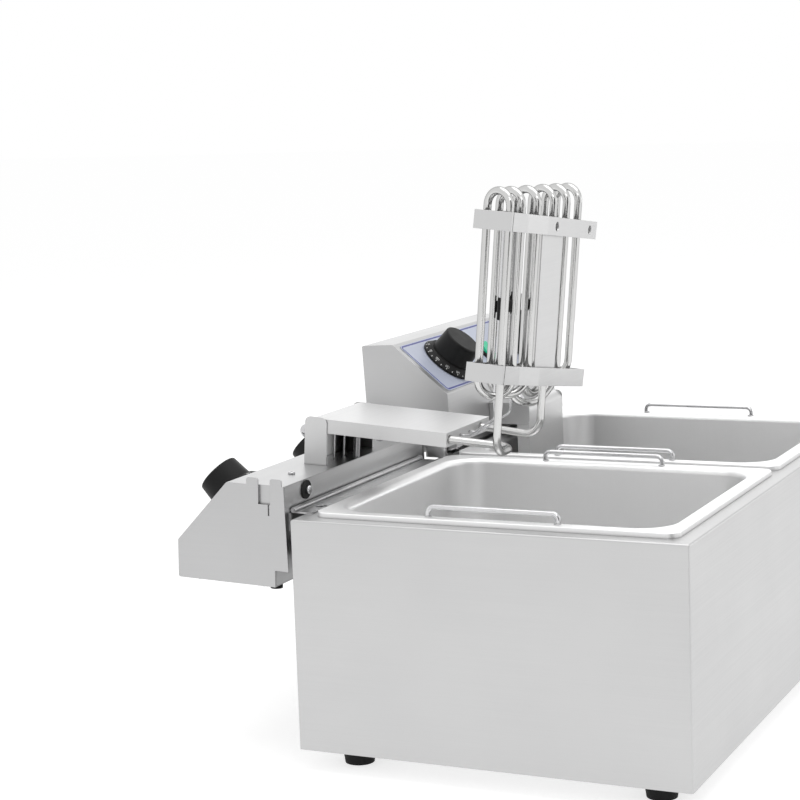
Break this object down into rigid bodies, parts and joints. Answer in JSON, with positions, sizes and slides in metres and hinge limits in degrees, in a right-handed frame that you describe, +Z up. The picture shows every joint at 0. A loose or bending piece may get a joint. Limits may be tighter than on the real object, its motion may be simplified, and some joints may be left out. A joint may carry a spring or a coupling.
{
  "type": "double deep fryer",
  "caption": "Countertop fryer: steel cabinet with side-by-side oil tanks and hinged control heads that tip back to lift their heating elements out of the oil.",
  "frame": {"origin": "under the middle of the whole fryer, on the table, with the left head tipped back and the right lowered", "axes": "+Z up, +X along the cabinet to the right as the cook sees it, front towards -Y"},
  "size_m": [0.68, 0.5246, 0.5401],
  "materials": {
    "cabinet_steel": "satin",
    "tank_steel": "satin",
    "head_steel": "satin",
    "element_steel": "bright drawn",
    "polished_steel": "polished",
    "hinge_steel": "satin",
    "fastener_steel": "bright",
    "black_plastic": "matte",
    "grey_plastic": "matte",
    "green_plastic": "gloss",
    "label": "printed film",
    "rubber": "matte"
  },
  "bodies": {
    "cabinet": {"cabinet_shell": "cabinet_steel", "base_plate": "cabinet_steel", "inner_support": "cabinet_steel", "rubber_feet": "rubber", "foot_screws": "fastener_steel", "stop_buffers": "rubber", "tank_handles": "polished_steel", "hinge_fixed_leaves": "hinge_steel", "hinge_pins": "hinge_steel", "left_tank": "tank_steel", "right_tank": "tank_steel"},
    "left_head": {"left_casing": "head_steel", "left_side_plates": "head_steel", "left_bottom_plate": "head_steel", "left_hinge_leaf": "hinge_steel", "left_label_plate": "label", "left_regulators": "grey_plastic", "left_switch_housing": "black_plastic", "left_grommet": "rubber", "left_microswitch": "grey_plastic", "left_limiter": "grey_plastic", "left_terminal_block": "grey_plastic", "left_cable_gland": "black_plastic", "left_bumpers": "rubber", "left_screws": "fastener_steel", "left_arm": "head_steel", "left_arm_bolts": "fastener_steel", "left_element": "element_steel", "left_clamps": "head_steel", "left_guard_plate": "head_steel", "left_sensors": "polished_steel"},
    "left_knob": {"left_knob": "black_plastic"},
    "left_timer": {"left_timer_knob": "black_plastic"},
    "left_rocker": {"left_rocker": "green_plastic"},
    "left_plunger": {"left_plunger": "polished_steel"},
    "right_head": {"right_casing": "head_steel", "right_side_plates": "head_steel", "right_bottom_plate": "head_steel", "right_hinge_leaf": "hinge_steel", "right_label_plate": "label", "right_regulators": "grey_plastic", "right_switch_housing": "black_plastic", "right_grommet": "rubber", "right_microswitch": "grey_plastic", "right_limiter": "grey_plastic", "right_terminal_block": "grey_plastic", "right_cable_gland": "black_plastic", "right_bumpers": "rubber", "right_screws": "fastener_steel", "right_arm": "head_steel", "right_arm_bolts": "fastener_steel", "right_element": "element_steel", "right_clamps": "head_steel", "right_guard_plate": "head_steel", "right_sensors": "polished_steel"},
    "right_knob": {"right_knob": "black_plastic"},
    "right_timer": {"right_timer_knob": "black_plastic"},
    "right_rocker": {"right_rocker": "green_plastic"},
    "right_plunger": {"right_plunger": "polished_steel"}
  },
  "joints": [
    {"name": "left_head_tip", "type": "hinge", "parent": "cabinet", "child": "left_head", "pos_m": [-0.165, 0.1342, 0.2426], "axis": [-1, 0, 0], "range_deg": [-85.3, 0]},
    {"name": "left_knob_turn", "type": "hinge", "parent": "left_head", "child": "left_knob", "pos_m": [-0.252, 0.2247, 0.24076], "axis": [0, 0.7192, 0.6948], "range_deg": [-230, 0]},
    {"name": "left_timer_turn", "type": "hinge", "parent": "left_head", "child": "left_timer", "pos_m": [-0.062, 0.2247, 0.24076], "axis": [0, 0.7192, 0.6948], "range_deg": [-230, 0]},
    {"name": "left_rocker_tip", "type": "hinge", "parent": "left_head", "child": "left_rocker", "pos_m": [-0.153, 0.22097, 0.24549], "axis": [1, 0, 0], "range_deg": [-16, 0]},
    {"name": "left_plunger_slide", "type": "slide", "parent": "left_head", "child": "left_plunger", "axis": [0, 0.9994, 0.0349], "range_m": [0, 0.0045], "stiffness_N_per_m": 300, "springref_m": -0.002},
    {"name": "right_head_tip", "type": "hinge", "parent": "cabinet", "child": "right_head", "pos_m": [0.165, 0.1342, 0.2426], "axis": [-1, 0, 0], "range_deg": [0, 85.3]},
    {"name": "right_knob_turn", "type": "hinge", "parent": "right_head", "child": "right_knob", "pos_m": [0.078, 0.14344, 0.33265], "axis": [0, -0.6336, 0.7737], "range_deg": [-230, 0]},
    {"name": "right_timer_turn", "type": "hinge", "parent": "right_head", "child": "right_timer", "pos_m": [0.268, 0.14344, 0.33265], "axis": [0, -0.6336, 0.7737], "range_deg": [-230, 0]},
    {"name": "right_rocker_tip", "type": "hinge", "parent": "right_head", "child": "right_rocker", "pos_m": [0.177, 0.13842, 0.32932], "axis": [1, 0, 0], "range_deg": [-16, 0]},
    {"name": "right_plunger_slide", "type": "slide", "parent": "right_head", "child": "right_plunger", "axis": [0, 0.0471, 0.9989], "range_m": [0, 0.0045], "stiffness_N_per_m": 300, "springref_m": -0.002}
  ]
}
